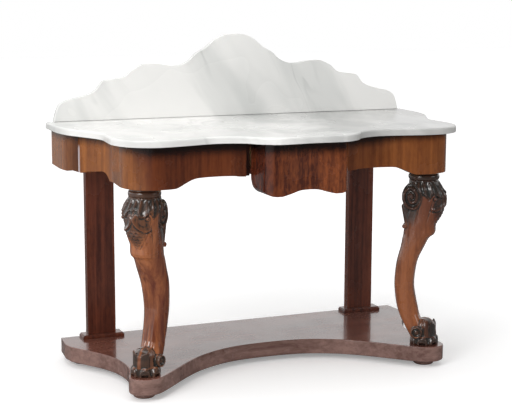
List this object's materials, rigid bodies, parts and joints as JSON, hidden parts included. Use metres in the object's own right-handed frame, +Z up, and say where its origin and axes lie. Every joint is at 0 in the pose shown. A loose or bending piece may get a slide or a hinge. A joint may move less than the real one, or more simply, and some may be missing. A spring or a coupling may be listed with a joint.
{
  "type": "washstand",
  "caption": "Washstand with a serpentine marble top and splashback, shaped frieze with a drawer, carved cabriole front legs and a platform base on bun feet.",
  "frame": {"origin": "on the floor, under the centre of the marble top", "axes": "+X along the width, to the right of someone facing the front; -Y is the front; +Z up"},
  "size_m": [1.228, 0.63, 1.0101],
  "materials": {
    "marble": "white polished marble with grey veins",
    "frieze_veneer": "polished red-brown mahogany veneer",
    "drawer_veneer": "polished figured mahogany veneer",
    "carved_mahogany": "polished carved mahogany with dark recesses",
    "dark_mahogany": "dark polished mahogany",
    "platform_mahogany": "worn polished mahogany",
    "inner_wood": "bare pine",
    "brass": "dull brass"
  },
  "bodies": {
    "root": {"marble_top": "marble", "marble_splashback": "marble", "splashback_pins": "brass", "frieze_left": "frieze_veneer", "frieze_right": "frieze_veneer", "side_frieze_left": "frieze_veneer", "side_frieze_right": "frieze_veneer", "back_rail": "inner_wood", "corner_block_left": "inner_wood", "corner_block_right": "inner_wood", "drawer_stile_left": "dark_mahogany", "drawer_stile_right": "dark_mahogany", "drawer_rail": "inner_wood", "top_rail": "inner_wood", "drawer_runner_left": "inner_wood", "drawer_runner_right": "inner_wood", "bearer_left": "inner_wood", "bearer_right": "inner_wood", "glue_blocks": "inner_wood", "leg_collar_left": "carved_mahogany", "leg_collar_right": "carved_mahogany", "front_leg_left": "carved_mahogany", "front_leg_right": "carved_mahogany", "rear_post_left": "dark_mahogany", "rear_post_right": "dark_mahogany", "post_shoe_left": "dark_mahogany", "post_shoe_right": "dark_mahogany", "post_screws": "brass", "plinth": "platform_mahogany", "foot_front_left": "platform_mahogany", "foot_front_right": "platform_mahogany", "foot_rear_left": "platform_mahogany", "foot_rear_right": "platform_mahogany"},
    "drawer": {"drawer_front": "drawer_veneer", "drawer_side_left": "inner_wood", "drawer_side_right": "inner_wood", "drawer_back": "inner_wood", "drawer_bottom": "inner_wood"}
  },
  "joints": [
    {"name": "drawer_slide", "type": "slide", "parent": "root", "child": "drawer", "axis": [0, -1, 0], "range_m": [0, 0.3]}
  ]
}
